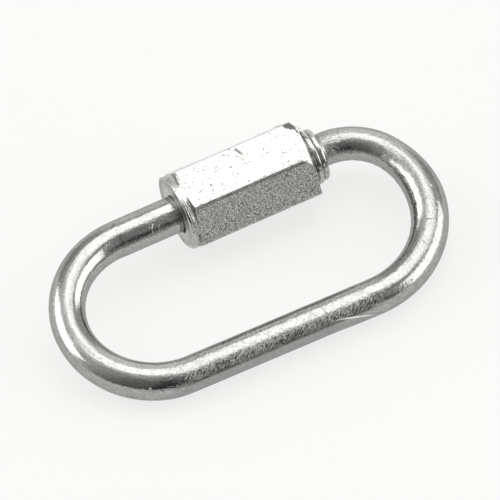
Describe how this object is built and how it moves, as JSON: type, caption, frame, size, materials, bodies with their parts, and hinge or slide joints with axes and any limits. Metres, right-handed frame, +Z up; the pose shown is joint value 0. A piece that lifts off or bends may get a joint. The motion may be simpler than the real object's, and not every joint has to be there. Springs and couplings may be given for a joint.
{
  "type": "chain quick link",
  "caption": "Oval steel quick link: a round rod bent into a racetrack loop, closed on one long side by a hexagonal screw sleeve that runs back along the rod to open the gap.",
  "frame": {"origin": "middle of the link's footprint on the surface it lies on", "axes": "+X along the long side, towards the nut's turned neck and parallel to the nut's axis; +Y from the plain leg towards the nut's leg; +Z up, away from the surface"},
  "size_m": [0.0396, 0.0224, 0.0079],
  "materials": {
    "zinc_rod": "bright zinc plating, glossy, with fine draw marks and scuffs",
    "zinc_nut": "bright zinc plating over a fine-grained pressed surface, turned ends glossy"
  },
  "bodies": {
    "link": {"link_body": "zinc_rod"},
    "nut": {"sleeve_nut": "zinc_nut"}
  },
  "joints": [
    {"name": "nut_travel", "type": "slide", "parent": "link", "child": "nut", "axis": [-1, 0, 0], "range_m": [0, 0.0061]}
  ]
}
